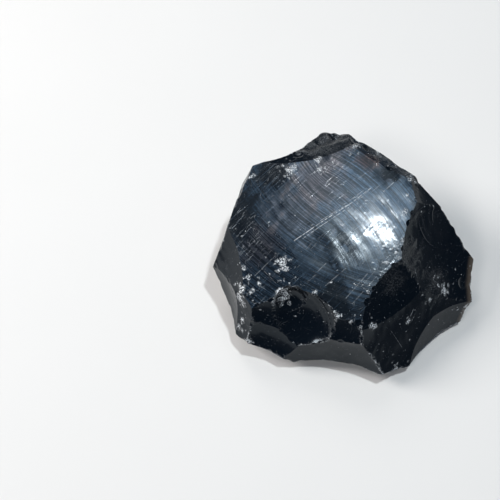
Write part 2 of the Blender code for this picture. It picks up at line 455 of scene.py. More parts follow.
# Where the skin looks otherwise: place, radius and strength.
PATCHES = {
    # Warmer grey patches on the great face, partly its own tone and partly painted sheen.
    Tint.PLUM_SHEEN: rows_of(
        Patch,
        (-9.4, 14.4, 31.0, 10.0, 0.8), (-17.0, 5.0, 29.5, 10.0, 0.4), (-28.5, -4.0, 26.0, 8.0, 0.7),
        (-5.0, 23.0, 32.0, 6.0, 0.6),
    ),
    Tint.RUST: rows_of(
        Patch,
        (6.3, 22.2, 31.5, 4.0, 0.9), (11.6, 17.8, 31.0, 3.5, 0.4),
    ),
    # Pale haze patches, partly the frosted face's own frost and partly painted sheen: the strong one at
    # (9.5, 4.5) paints the glow round the overhead lamp's highlight, the small one at (11.9, 2.4) paints a
    # second highlight spot, and those below zero take haze and painted sheen away.
    Tint.HAZE_AND_SHEEN: rows_of(
        Patch,
        (-9.0, 12.0, 31.0, 14.0, 0.55), (9.5, 4.5, 28.8, 12.5, 0.9), (0.0, 15.0, 31.0, 12.0, 0.4),
        (-29.0, 4.0, 28.0, 7.0, 0.3), (14.8, 10.0, 30.5, 5.5, 0.7), (-22.5, 18.9, 31.0, 6.0, -0.5),
        (-15.0, 20.0, 31.0, 4.0, 0.3), (12.5, 17.0, 30.5, 3.5, -0.7), (-6.6, -23.4, 22.0, 6.0, -0.5),
        (-1.0, -20.0, 23.5, 9.0, -0.35), (3.0, 22.0, 32.0, 6.0, 0.2), (-34.0, 5.5, 26.0, 8.0, -0.5),
        (-34.5, 14.0, 24.0, 6.0, -0.4), (-12.0, 5.0, 29.8, 7.0, 0.2), (-18.0, 0.0, 28.3, 7.0, 0.25),
        (-14.0, -8.0, 27.0, 7.0, 0.1), (-5.0, -11.0, 26.7, 8.0, 0.15), (2.0, -16.0, 25.0, 6.0, 0.3),
        (0.0, -21.0, 23.5, 5.0, 0.35), (6.3, 10.0, 31.3, 6.0, 0.3), (13.0, -3.0, 27.0, 4.0, -0.35),
        (-2.5, -4.5, 28.5, 6.5, -0.4), (11.9, 2.4, 29.5, 2.6, 1.0),
    ),
    Tint.GRAIN: rows_of(
        Patch,
        (16.5, -7.0, 25.5, 5.0, 0.6), (12.5, -15.0, 23.5, 5.0, 0.45), (19.0, 5.0, 26.5, 3.0, 0.4),
        (27.0, -11.0, 15.0, 6.0, 0.4), (-8.0, 30.0, 30.0, 9.0, 0.45), (2.0, 34.0, 29.0, 6.0, 0.45),
        (10.0, 26.0, 29.0, 5.0, 0.7), (18.0, 19.0, 28.0, 5.0, 0.6),
    ),
}

# The scratches that can be told apart.
SCRATCHES = (
    Scratch((-17.0, -3.6), (0.1, 7.3), 0.16, 0.85),
    Scratch((-14.6, -3.2), (-0.6, 5.9), 0.13, 0.6),
    Scratch((0.1, 7.3), (6.7, 12.6), 0.13, 0.7),
    Scratch((-9.1, 2.1), (-1.5, 6.6), 0.1, 0.5),
    Scratch((-2.5, 6.6), (5.2, 12.3), 0.1, 0.45),
    Scratch((10.3, 11.3), (13.6, 14.5), 0.17, 0.5),
    Scratch((-2.1, -3.0), (2.8, 0.3), 0.085, 0.28),
    Scratch((-5.8, -10.3), (-0.3, -3.3), 0.085, 0.28),
    Scratch((-10.0, -12.8), (-7.6, -10.6), 0.136, 0.33),
    Scratch((-8.0, -17.1), (-2.0, -12.4), 0.17, 0.22),
    Scratch((-2.2, -20.9), (4.4, -13.9), 0.187, 0.25),
    Scratch((-0.2, -22.3), (7.1, -14.7), 0.17, 0.22),
    Scratch((2.5, -17.5), (12.5, -7.0), 0.136, 0.19),
    Scratch((-29.0, -12.5), (-23.6, -8.1), 0.111, 0.33),
    Scratch((-26.6, -10.8), (-22.7, -15.2), 0.085, 0.22),
    Scratch((19.3, -20.6), (17.6, -24.0), 0.102, 0.39),
    Scratch((20.3, -20.7), (18.9, -23.5), 0.085, 0.28),
    Scratch((12.0, -27.0), (16.5, -30.5), 0.085, 0.28),
    Scratch((19.5, -10.0), (20.5, -13.5), 0.085, 0.28),
    Scratch((25.0, -11.0), (27.5, -11.5), 0.085, 0.22),
)

# Small flakes: place, radius and depth.
FLAKES = rows_of(
    Flake,
    (-4.0, 33.6, 29.0, 3.0, 0.8), (-11.4, 28.6, 30.3, 6.0, 0.6), (-8.0, 31.5, 29.6, 5.0, 0.5),
    (-15.5, 25.6, 30.5, 4.0, 0.4), (-1.0, 31.8, 30.8, 4.0, 0.5), (6.0, 27.4, 31.2, 3.0, 0.4),
    (15.0, 22.5, 29.0, 4.0, 0.4), (-31.7, -24.2, 11.0, 26.0, 0.14), (-36.0, 9.0, 21.5, 5.0, 0.5),
    (-33.8, 13.5, 26.5, 5.0, 0.5), (36.5, -9.0, 9.5, 6.0, 0.35), (1.5, -28.0, 20.5, 6.0, 0.3),
)

# Lumps and dips, most at the north end: place, radius and height.
MOUNDS = rows_of(
    Mound,
    (-11.5, 31.0, 28.5, 3.6, 1.1), (-6.6, 34.2, 28.2, 2.8, 1.8), (-5.0, 37.8, 25.6, 1.8, -1.3),
    (-3.1, 34.0, 29.0, 1.4, -2.5), (-0.4, 32.6, 30.5, 2.4, 0.35), (2.8, 31.0, 31.2, 2.0, -1.0),
    (-8.5, 30.4, 29.4, 1.6, -0.5),
)


# The low swells of the whole skin, and those of its grainy patches.
SKIN_SWELLS = (Swell(0.06, 16.0, 7), Swell(0.01, 5.0, 8))
GRAIN_SWELLS = (Swell(0.1, 4.5, 9), Swell(0.02, 1.8, 10))
CRUSHED_SWELL = Swell(0.07, 1.6, 16)
# What makes the edges of patches and of crushed places ragged, as a share of the distance.
PATCH_EDGES = (Swell(0.22, 6.0, 12), Swell(0.12, 2.2, 13))
CRUSH_EDGES = (Swell(0.35, 3.0, 17), Swell(0.25, 1.4, 18))
# The ripples of the great face: the upper right ones, the others, and the fine ones among those.
FAR_RIPPLE = Ripple(0.04, 6.2)
NEAR_RIPPLE = Ripple(0.03, 5.4)
FINE_RIPPLE = Ripple(0.006, 1.9)
RIPPLE_BEND = Swell(0.8, 30.0, 11)
# The faint waves of each fresh scar.
SCAR_WAVE = Ripple(0.016, 3.6)
WAVE_BEND = Swell(0.7, 14.0, 14)
WAVE_SHARE = Swell(1.0, 20.0, 15)


def unit(vectors: np.ndarray) -> np.ndarray:
    """The same vectors with a length of one."""
    return vectors / np.linalg.norm(vectors, axis=-1, keepdims=True)


def smooth_step(low: float, high: float, values: np.ndarray) -> np.ndarray:
    """A soft rise from zero to one at each value, between a start and an end."""
    share = np.clip((values - low) / (high - low), 0.0, 1.0)
    return share * share * (3.0 - 2.0 * share)


def spots_on(skin: np.ndarray, spots: tuple, edges: tuple[Swell, ...],
             fade: Span) -> Iterator[np.ndarray]:
    """How strongly each of some ragged round spots lies on the skin.

    Args:
        skin: The points of the skin.
        spots: The spots, which have a place and a radius.
        edges: What makes their edges ragged.
        fade: Where a spot ends and where it is full, as shares of its radius.

    Yields:
        For each spot, a share from zero to one at each point.
    """
    ragged = sum((swell.at(skin) for swell in edges), 1.0)
    end, full = fade
    for spot in spots:
        away = np.linalg.norm(skin - np.array(spot.place), axis=1) * ragged
        yield smooth_step(spot.radius * end, spot.radius * full, away)


class Surfaces:
    """All the balls and flats that bound the stone, as seen from its heart.

    Attributes:
        heart: The point that the lines start from, in millimetres.
        sides: Which side of its face each ball lies on.
        centres: The middle of each ball, or a point of each flat.
        radii: The radius of each ball.
        normals: The outward direction of each flat.
        broad: How many of the surfaces are broad; the others only reach a little way.
    """

    def __init__(self, heart: Point) -> None:
        """Start with no surfaces.

        Args:
            heart: The point that the lines start from, in millimetres.
        """
        self.heart = np.array(heart)
        self.sides: list[int] = []
        self.centres: list[np.ndarray] = []
        self.radii: list[float] = []
        self.normals: list[np.ndarray] = []
        self.broad = 0

    def add_scar(self, scar: Scar) -> None:
        """Add the ball or the flat that holds a scar's three points.

        Args:
            scar: The scar.
        """
        first, second, third = (np.array(point) for point in (scar.first, scar.second, scar.third))
        normal = unit(np.cross(second - first, third - first))
        if normal @ (first - self.heart) < 0.0:
            normal = -normal
        if scar.hollow == 0.0:
            self._add(Side.FLAT, first, 0.0, normal)
            return
        sides = np.array([second - first, third - first, normal])
        halves = np.array([sides[0] @ sides[0], sides[1] @ sides[1], 0.0]) / 2.0
        to_middle = np.linalg.solve(sides, halves)
        depth = abs(scar.hollow)
        radius = (to_middle @ to_middle + depth ** 2) / (2.0 * depth)
        lift = math.copysign(radius - depth, scar.hollow)
        side = Side.HOLLOW if scar.hollow > 0.0 else Side.BULGE
        self._add(side, first + to_middle + normal * lift, radius, normal)

    def add_bite(self, middle: np.ndarray, radius: float) -> None:
        """Add a round bite out of the stone, by the middle and the radius of its ball."""
        self._add(Side.HOLLOW, np.array(middle), radius, np.array((0.0, 0.0, 1.0)))

    def _add(self, side: Side, centre: np.ndarray, radius: float, normal: np.ndarray) -> None:
        """Add one surface to the lists.

        Args:
            side: Which side of its face its ball lies on.
            centre: The middle of the ball, or a point of the flat.
            radius: The radius of the ball.
            normal: The outward direction of the flat.
        """
        self.sides.append(side.value)
        self.centres.append(centre)
        self.radii.append(radius)
        self.normals.append(normal)

    def close_broad(self) -> None:
        """Count the surfaces so far as broad; the ones added later only reach a little way."""
        self.broad = len(self.radii)

    def runs(self, directions: np.ndarray, owner: np.ndarray) -> np.ndarray:
        """How far lines run from the heart to the surfaces that are named for them.

        Args:
            directions: One direction for each line.
            owner: The number of the surface that each line is to meet.

        Returns:
            The length of each line, or infinity where it misses.
        """
        side = np.array(self.sides)[owner]
        offset = np.array(self.centres)[owner] - self.heart
        radius = np.array(self.radii)[owner]
        normal = np.array(self.normals)[owner]
        slope = (directions * normal).sum(axis=-1)
        flat = (offset * normal).sum(axis=-1) / np.where(slope > TINY, slope, 1.0)
        along = (directions * offset).sum(axis=-1)
        inside = along ** 2 - ((offset * offset).sum(axis=-1) - radius ** 2)
        half = np.sqrt(np.maximum(inside, 0.0))
        near = np.where((inside > 0.0) & (along > 0.0), along - half, np.inf)
        ball = np.where(side == Side.BULGE.value, along + half, near)
        return np.where(side == Side.FLAT.value, np.where(slope > TINY, flat, np.inf), ball)

    def reach(self, directions: np.ndarray, broad_only: bool = False) -> tuple[np.ndarray, np.ndarray]:
        """The distance to the stone's skin in each direction.

        Args:
            directions: The directions, from the heart.
            broad_only: Whether the small bites are left out.

        Returns:
            The distances, and the number of the surface that each one ends on.
        """
        best = np.full(len(directions), np.inf)
        owner = np.zeros(len(directions), dtype=int)
        for number in range(self.broad):
            distance = self.runs(directions, np.full(len(directions), number))
            closer = distance < best
            best[closer] = distance[closer]
            owner[closer] = number
        if broad_only:
            return best, owner
        for number in range(self.broad, len(self.radii)):
            offset = self.centres[number] - self.heart
            away = np.linalg.norm(offset)
            edge = math.sqrt(max(0.0, 1.0 - (self.radii[number] / away) ** 2))
            touched = np.flatnonzero(directions @ (offset / away) > edge)
            distance = self.runs(directions[touched], np.full(len(touched), number))
            closer = distance < best[touched]
            best[touched[closer]] = distance[closer]
            owner[touched[closer]] = number
        return best, owner

    def outward(self, places: np.ndarray, owner: np.ndarray) -> np.ndarray:
        """The direction straight out of the stone at places on named surfaces.

        Args:
            places: The places, in millimetres.
            owner: The number of the surface that each one lies on.

        Returns:
            One unit vector for each place.
        """
        side = np.array(self.sides)[owner][:, None]
        away = unit(np.array(self.centres)[owner] - places + TINY) * np.where(side < 0, -1.0, 1.0)
        return np.where(side == 0, np.array(self.normals)[owner], away)


class RoundNet:
    """A closed net of directions, from the six sides of a cube.

    Attributes:
        directions: The net's points, as unit vectors.
        quads: The four points of each mesh of the net, in order, facing out.
        edges: The two points of each string of the net.
    """

    def __init__(self, cells: int, lift: float) -> None:
        """Make the net.

        Args:
            cells: How many meshes there are along a side of the cube.
            lift: How far the net is drawn up, so that it is finer on top.
        """
        steps = np.tan(np.linspace(-1.0, 1.0, cells + 1) * math.pi / 4.0)
        across, up = np.meshgrid(steps, steps, indexing="ij")
        ones = np.ones_like(across)
        sheets = []
        for axis in range(3):
            for sign in (-1.0, 1.0):
                sheet = np.empty(across.shape + (3,))
                sheet[..., axis] = sign * ones
                sheet[..., (axis + 1) % 3] = across * sign
                sheet[..., (axis + 2) % 3] = up
                sheets.append(sheet)
        loose = np.concatenate([sheet.reshape(-1, 3) for sheet in sheets])
        _, first, again = np.unique(np.round(loose, DECIMALS), axis=0,
                                    return_index=True, return_inverse=True)
        again = again.ravel()
        number = np.arange(len(loose)).reshape(6, cells + 1, cells + 1)
        corners = (number[:, :-1, :-1], number[:, 1:, :-1], number[:, 1:, 1:], number[:, :-1, 1:])
        self.quads = again[np.stack([corner.ravel() for corner in corners], axis=1)]
        self.directions = unit(unit(loose[first]) + np.array((0.0, 0.0, lift)))
        pairs = np.concatenate([self.quads[:, [side, (side + 1) % 4]] for side in range(4)])
        self.edges = np.unique(np.sort(pairs, axis=1), axis=0)


@dataclass
class Obsidian:
    """The stone: its form, its wear, and the numbers that its finishes are read from.

    Attributes:
        heart: The point that every part of the skin can be seen from, in millimetres.
        half_size: Half the stone's width, depth and height.
        cells: How many meshes of the net lie along each side of the cube it is made from.
        lift: How far the net is drawn up.
        spread_passes: How often the net is evened out.
        nick_count: How many nicks there are on the ridges.
        nick_radius: The least and greatest radius of a nick.
        nick_depth: The least and greatest depth of a nick.
        lowest_nick: No nick lies lower than this.
        blunt: The cosine between two faces above which their ridge is too blunt to chip.
        thin_rims: The scars below the thin edge that lets light through.
        blow_northeast: Where the blow fell that sent out the left and lower ripples of the great face.
        blow_southwest: Where the blow fell that sent out its upper right ripples.
        feeler: How far apart heights are compared to find which way the surface faces.
        shift: How the stone is moved so that its box is centred.
        seed: Which nicks.
        halvings: How often a string of the net is halved to find the ridge that it crosses.
        unfold_passes: How often meshes that a ridge has folded over are put back.
        folded: The share of its first size below which a mesh counts as folded.
        wear_and_glint: How sharp a ridge is where its white begins, and where it is full; the white is
            partly wear and partly painted glints.
        rippled: The scars that the two blows' ripples run over.
        right_x: Where the upper right of the great face begins and is full, from left to right.
        right_y: The same, from the near side to the far side.
        turn_scale: How many millimetres one radian about a blow counts for.
        patch_fade: Where a patch ends and where it is full, as shares of its radius.
        crush_fade: The same for a crushed place.
        crush_sink: How much lower the crushed glass lies.
        ring_fade: The share of its span in which a ring is full.
        seat_fade: Below this the relief fades out towards the seat.
        rim_bottom: The thin edge lies higher than this.
        rim_left: The thin edge lies farther to the right than this.
        rim_fade: How far from the edge the light stops, and where it is full.
        far_away: A distance that is past all of those.
        surfaces: The balls and flats that bound the stone.
    """

    heart: Point = (-4.0, 0.0, 10.0)
    half_size: Point = (41.0, 38.0, 16.5)
    cells: int = 122
    lift: float = 0.35
    spread_passes: int = 10
    nick_count: int = 260
    nick_radius: Span = (0.6, 3.0)
    nick_depth: Span = (0.08, 0.4)
    lowest_nick: float = 2.0
    blunt: float = 0.9
    thin_rims: tuple[str, ...] = ("under_east_rim", "under_southeast_rim")
    blow_northeast: Spot = (19.1, 39.9)
    blow_southwest: Spot = (-38.3, -29.5)
    feeler: float = 0.15
    shift: Point = (0.148, -0.017, 0.0)
    seed: int = 7
    halvings: int = 14
    unfold_passes: int = 4
    folded: float = 0.1
    wear_and_glint: Span = (0.1, 0.6)
    rippled: tuple[str, ...] = ("great_face", "west_shoulder")
    right_x: Span = (-10.0, -3.0)
    right_y: Span = (-17.0, -9.0)
    turn_scale: float = 40.0
    patch_fade: Span = (1.25, 0.35)
    crush_fade: Span = (1.3, 0.4)
    crush_sink: float = 0.08
    ring_fade: float = 0.6
    seat_fade: float = 1.5
    rim_bottom: float = 2.0
    rim_left: float = 28.0
    rim_fade: Span = (2.4, 0.6)
    far_away: float = 9.0
    surfaces: Surfaces = field(init=False)

    def __post_init__(self) -> None:
        """Gather the broad surfaces."""
        self.surfaces = Surfaces(self.heart)
        for scar in SCARS:
            self.surfaces.add_scar(scar)
        for pit in PITS:
            self.surfaces.add_bite(np.array(pit.middle), pit.radius)
        self.surfaces.close_broad()

    def build(self) -> bpy.types.Object:
        """Make the stone's mesh.

        Returns:
            The stone, in metres, with its finishes' numbers stored on it.
        """
        net = RoundNet(self.cells, self.lift)
        directions = unit(net.directions * np.array(self.half_size))
        directions = self._spread(directions, net.edges)
        self._add_nicks(directions, net.edges)
        directions, on_ridge, wear_and_glint = self._pull_to_ridges(directions, net)
        reach, owner = self.surfaces.reach(directions)
        skin = directions * reach[:, None] + self.surfaces.heart
        triangles = self._split(net.quads, skin, on_ridge)
        middle = unit(directions[triangles].mean(axis=1))
        face_owner = self.surfaces.reach(middle)[1]
        normals = self._corner_normals(skin, triangles, face_owner)
        skin = skin + directions * self._relief(skin, owner)[:, None]
        stone = self._mesh("obsidian", (skin + np.array(self.shift)) * MILLIMETRE, triangles)
        stone.data.normals_split_custom_set(normals.tolist())
        self._store(stone.data, skin, owner, face_owner)
        # Sharp ridges are painted white, partly as wear and partly as painted glints where the ridges catch
        # the light.
        self._store_points(stone.data, "wear_and_glint", smooth_step(*self.wear_and_glint, wear_and_glint))
        return stone

    def _corner_normals(self, skin: np.ndarray, triangles: np.ndarray,
                        face_owner: np.ndarray) -> np.ndarray:
        """Which way the surface faces at each corner of each triangle.

        Args:
            skin: The points of the skin, without its relief.
            triangles: The corners of the triangles.
            face_owner: The surface that each triangle lies on.

        Returns:
            One unit vector for each corner.
        """
        owner = np.repeat(face_owner, 3)
        places = skin[triangles.ravel()]
        normal = self.surfaces.outward(places, owner)
        side = unit(np.cross(normal, np.array(ASKEW)))
        other = np.cross(normal, side)
        base = self._relief(places, owner)
        first = (self._relief(places + side * self.feeler, owner) - base)[:, None] / self.feeler
        second = (self._relief(places + other * self.feeler, owner) - base)[:, None] / self.feeler
        lean = (unit(places - self.surfaces.heart) * normal).sum(axis=1, keepdims=True)
        return unit(normal - lean * (first * side + second * other))

    def _spread(self, directions: np.ndarray, edges: np.ndarray) -> np.ndarray:
        """Even out the net over the skin.

        Args:
            directions: The net's directions.
            edges: Its strings.

        Returns:
            The new directions.
        """
        count = np.bincount(edges.ravel(), minlength=len(directions))[:, None]
        for _ in range(self.spread_passes):
            skin = directions * self.surfaces.reach(directions, broad_only=True)[0][:, None]
            total = np.zeros_like(skin)
            np.add.at(total, edges[:, 0], skin[edges[:, 1]])
            np.add.at(total, edges[:, 1], skin[edges[:, 0]])
            directions = unit(total / count)
        return directions

    def _crossings(self, directions: np.ndarray, edges: np.ndarray,
                   owner: np.ndarray) -> tuple[np.ndarray, np.ndarray, np.ndarray]:
        """Where the net's strings cross a ridge.

        Args:
            directions: The net's directions.
            edges: Its strings.
            owner: The surface that each point lies on.

        Returns:
            The strings that cross, the direction of each crossing, and its place on the string.
        """
        crossing = edges[owner[edges[:, 0]] != owner[edges[:, 1]]]
        start, end = directions[crossing[:, 0]], directions[crossing[:, 1]]
        low, high = np.zeros(len(crossing)), np.ones(len(crossing))
        for _ in range(self.halvings):
            half = (low + high) / 2.0
            look = unit(start + (end - start) * half[:, None])
            before = self.surfaces.runs(look, owner[crossing[:, 0]])
            after = self.surfaces.runs(look, owner[crossing[:, 1]])
            low = np.where(before <= after, half, low)
            high = np.where(before <= after, high, half)
        place = (low + high) / 2.0
        return crossing, unit(start + (end - start) * place[:, None]), place

    def _pull_to_ridges(self, directions: np.ndarray,
                        net: RoundNet) -> tuple[np.ndarray, np.ndarray, np.ndarray]:
        """Move the nearer end of each crossing string onto its ridge.

        Args:
            directions: The net's directions.
            net: The net.

        Returns:
            The new directions, which points lie on a ridge, and how sharp that ridge is.
        """
        owner = self.surfaces.reach(directions)[1]
        crossing, look, place = self._crossings(directions, net.edges, owner)
        nearer = np.where(place < 0.5, crossing[:, 0], crossing[:, 1])
        order = np.argsort(-np.minimum(place, 1.0 - place))
        moved = directions.copy()
        moved[nearer[order]] = look[order]
        places = look * self.surfaces.runs(look, owner[crossing[:, 0]])[:, None] + self.surfaces.heart
        first, second = (self.surfaces.outward(places, owner[crossing[:, end]]) for end in (0, 1))
        wear_and_glint = np.zeros(len(directions))
        np.maximum.at(wear_and_glint, nearer, 1.0 - (first * second).sum(axis=1))
        on_ridge = np.zeros(len(directions), dtype=bool)
        on_ridge[nearer] = True
        triples = np.concatenate([net.quads[:, [0, 1, 2]], net.quads[:, [0, 2, 3]]])
        before = np.linalg.det(directions[triples])
        for _ in range(self.unfold_passes):
            folded = triples[np.linalg.det(moved[triples]) < self.folded * before].ravel()
            moved[folded] = directions[folded]
            on_ridge[folded] = False
            wear_and_glint[folded] = 0.0
        return moved, on_ridge, wear_and_glint

    def _split(self, quads: np.ndarray, skin: np.ndarray, on_ridge: np.ndarray) -> np.ndarray:
        """Cut each mesh of the net in two, along a ridge where one runs through it.

        Args:
            quads: The net's meshes.
            skin: The points of the skin.
            on_ridge: Which points lie on a ridge.

        Returns:
            The corners of the triangles.
        """
        one = np.linalg.norm(skin[quads[:, 0]] - skin[quads[:, 2]], axis=1)
        other = np.linalg.norm(skin[quads[:, 1]] - skin[quads[:, 3]], axis=1)
        one_ridge = on_ridge[quads[:, 0]] & on_ridge[quads[:, 2]]
        other_ridge = on_ridge[quads[:, 1]] & on_ridge[quads[:, 3]]
        first = np.where(one_ridge == other_ridge, one <= other, one_ridge)
        halves = [quads[first][:, [0, 1, 2]], quads[first][:, [0, 2, 3]]]
        halves += [quads[~first][:, [0, 1, 3]], quads[~first][:, [1, 2, 3]]]
        return np.concatenate(halves)

    def _add_nicks(self, directions: np.ndarray, edges: np.ndarray) -> None:
        """Add the bites along the ridges and the flakes.

        Args:
            directions: The net's directions.
            edges: Its strings.
        """
        dice = np.random.default_rng(self.seed)
        owner = self.surfaces.reach(directions, broad_only=True)[1]
        crossing, look, _ = self._crossings(directions, edges, owner)
        first, second = owner[crossing[:, 0]], owner[crossing[:, 1]]
        places = look * self.surfaces.runs(look, first)[:, None] + self.surfaces.heart
        one, other = self.surfaces.outward(places, first), self.surfaces.outward(places, second)
        outward = unit(one + other)
        sharp = (one * other).sum(axis=1) < self.blunt
        usable = np.flatnonzero((places[:, 2] > self.lowest_nick) & sharp)
        for index in dice.choice(usable, self.nick_count, replace=False):
            size = dice.random() ** 2
            radius = self.nick_radius[0] + size * (self.nick_radius[1] - self.nick_radius[0])
            depth = self.nick_depth[0] + size * (self.nick_depth[1] - self.nick_depth[0])
            self.surfaces.add_bite(places[index] + outward[index] * (radius - depth), radius)
        for flake in FLAKES:
            self._bite_at(np.array(flake.place), flake.radius, flake.depth)

    def _bite_at(self, place: np.ndarray, radius: float, depth: float) -> None:
        """Take a round bite out of the skin.

        Args:
            place: A point near the skin, in millimetres.
            radius: The radius of the bite.
            depth: How deep it goes.
        """
        look = unit(place - self.surfaces.heart)
        reach, owner = self.surfaces.reach(look[None], broad_only=True)
        spot = look * reach[0] + self.surfaces.heart
        out = self.surfaces.outward(spot[None], owner)[0]
        self.surfaces.add_bite(spot + out * (radius - depth), radius)

    def _relief(self, skin: np.ndarray, owner: np.ndarray) -> np.ndarray:
        """The height of the rings, the ripples, the grain and the soft swells.

        Args:
            skin: Points of the skin.
            owner: The surface that each point lies on.

        Returns:
            The height at each point, in millimetres.
        """
        height = sum(swell.at(skin) for swell in SKIN_SWELLS)
        height += self._patches(skin, Tint.GRAIN) * sum(swell.at(skin) for swell in GRAIN_SWELLS)
        height += self._ripples(skin, owner) + self._waves(skin, owner)
        for mound in MOUNDS:
            away = np.linalg.norm(skin - np.array(mound.place), axis=1)
            height += mound.height * np.exp(-(away / mound.radius) ** 2)
        names = [surface.name for surface in SCARS + PITS]
        for ring in RINGS:
            mine = np.flatnonzero(owner == names.index(ring.scar))
            offset = skin[mine] - np.array(ring.centre)
            away = np.linalg.norm(offset, axis=1)
            turn = np.degrees(np.arctan2(offset[:, 1], offset[:, 0])) - ring.facing
            turn = np.abs((turn + 180.0) % 360.0 - 180.0)
            crest = np.exp(-((away - ring.radius) / ring.width) ** 2)
            height[mine] += ring.height * crest * smooth_step(ring.span, ring.span * self.ring_fade, turn)
        height += self._crushed(skin) * (CRUSHED_SWELL.at(skin) - self.crush_sink)
        height[owner == names.index("seat")] = 0.0
        return height * smooth_step(0.0, self.seat_fade, skin[:, 2])

    def _ripples(self, skin: np.ndarray, owner: np.ndarray) -> np.ndarray:
        """The height of the long ripples that two blows sent over the great face.

        Args:
            skin: The points of the skin.
            owner: The surface that each point lies on.

        Returns:
            The height at each point.
        """
        near, far = self._sweep(skin, self.blow_northeast), self._sweep(skin, self.blow_southwest)
        upper_right = self._upper_right(skin)
        bend = RIPPLE_BEND.at(skin)
        first = FAR_RIPPLE.at(far + bend) * upper_right
        second = NEAR_RIPPLE.at(near + bend) * (1.0 - upper_right)
        fine = FINE_RIPPLE.at(near + bend) * (1.0 - upper_right)
        rippled = [number for number, scar in enumerate(SCARS) if scar.name in self.rippled]
        return np.where(np.isin(owner, rippled), first + second + fine, 0.0)

    def _waves(self, skin: np.ndarray, owner: np.ndarray) -> np.ndarray:
        """The height of the faint waves about the blow that made each fresh scar.

        Args:
            skin: The points of the skin.
            owner: The surface that each point lies on.

        Returns:
            The height at each point.
        """
        scar = np.minimum(owner, len(SCARS) - 1)
        fresh = np.array([scar.skin is Skin.FRESH for scar in SCARS])[scar] & (owner < len(SCARS))
        blow = np.array([scar.first for scar in SCARS])[scar]
        away = np.linalg.norm(skin - blow, axis=1) + WAVE_BEND.at(skin)
        return np.where(fresh, SCAR_WAVE.at(away) * WAVE_SHARE.at(skin), 0.0)

    def _upper_right(self, skin: np.ndarray) -> np.ndarray:
        """How much each point belongs to the upper right of the great face."""
        return smooth_step(*self.right_x, skin[:, 0]) * smooth_step(*self.right_y, skin[:, 1])

    def _sweep(self, skin: np.ndarray, blow: Spot) -> np.ndarray:
        """How far each point lies from where a blow fell, seen from above."""
        return np.linalg.norm(skin[:, :2] - np.array(blow), axis=1)

    def _patches(self, skin: np.ndarray, tint: Tint) -> np.ndarray:
        """How strongly each point shows a tint.

        Args:
            skin: The points of the skin.
            tint: The tint.

        Returns:
            The strength at each point.
        """
        total = np.zeros(len(skin))
        shares = spots_on(skin, PATCHES[tint], PATCH_EDGES, self.patch_fade)
        for patch, share in zip(PATCHES[tint], shares):
            total += patch.strength * share
        return np.clip(total, -1.0, 1.0)

    def _mesh(self, name: str, points: np.ndarray, triangles: np.ndarray) -> bpy.types.Object:
        """Put points and triangles together as an object.

        Args:
            name: The object's name.
            points: The points, in metres.
            triangles: The corners of the triangles.

        Returns:
            The object, in the scene.
        """
        mesh = bpy.data.meshes.new(name)
        mesh.vertices.add(len(points))
        mesh.vertices.foreach_set("co", points.astype(np.float32).ravel())
        mesh.loops.add(triangles.size)
        mesh.loops.foreach_set("vertex_index", triangles.astype(np.int32).ravel())
        mesh.polygons.add(len(triangles))
        mesh.polygons.foreach_set("loop_start", np.arange(0, triangles.size, 3, dtype=np.int32))
        mesh.update(calc_edges=True)
        mesh.validate()
        mesh.shade_smooth()
        item = bpy.data.objects.new(name, mesh)
        bpy.context.scene.collection.objects.link(item)
        return item

    def _store(self, mesh: bpy.types.Mesh, skin: np.ndarray, owner: np.ndarray,
               face_owner: np.ndarray) -> None:
        """Store the numbers that the finishes read.

        Args:
            mesh: The stone's mesh.
            skin: Its points, in millimetres.
            owner: The surface that each point lies on.
            face_owner: The surface that each face lies on.
        """
        bites = len(self.surfaces.radii) - len(SCARS)
        frost = np.array([scar.skin.value for scar in SCARS] + [Skin.FRESH.value] * bites)
        face = mesh.attributes.new("frost", "FLOAT", "FACE")
        face.data.foreach_set("value", frost[face_owner].astype(np.float32))
        for tint in Tint:
            self._store_points(mesh, tint.value, self._patches(skin, tint))
        for name, blow in (("northeast", self.blow_northeast), ("southwest", self.blow_southwest)):
            aside = skin[:, :2] - np.array(blow)
            self._store_points(mesh, name + "_sweep", self._sweep(skin, blow))
            self._store_points(mesh, name + "_turn", np.arctan2(aside[:, 1], aside[:, 0]) * self.turn_scale)
        self._store_points(mesh, "upper_right", self._upper_right(skin))
        self._store_points(mesh, "crushed", self._crushed(skin))
        self._store_points(mesh, "thin", self._thin(skin, owner))

    def _store_points(self, mesh: bpy.types.Mesh, name: str, values: np.ndarray) -> None:
        """Store one number at each point of the mesh."""
        mesh.attributes.new(name, "FLOAT", "POINT").data.foreach_set("value", values.astype(np.float32))

    def _crushed(self, skin: np.ndarray) -> np.ndarray:
        """How white the glass is crushed at each point, from zero to one."""
        return reduce(np.maximum, spots_on(skin, CRUSHES, CRUSH_EDGES, self.crush_fade))

    def _thin(self, skin: np.ndarray, owner: np.ndarray) -> np.ndarray:
        """How near each point is to the thin edge that lets light through.

        Args:
            skin: The points of the skin.
            owner: The surface that each point lies on.

        Returns:
            A share from zero to one at each point.
        """
        names = [scar.name for scar in SCARS]
        under = np.isin(owner, [names.index(name) for name in self.thin_rims])
        rim = np.flatnonzero(under & (skin[:, 2] > self.rim_bottom))
        tree = KDTree(len(rim))
        for number, index in enumerate(rim):
            tree.insert(skin[index], number)
        tree.balance()
        near = np.full(len(skin), self.far_away)
        for index in np.flatnonzero(skin[:, 0] > self.rim_left):
            near[index] = tree.find(skin[index])[2]
        return smooth_step(*self.rim_fade, near)


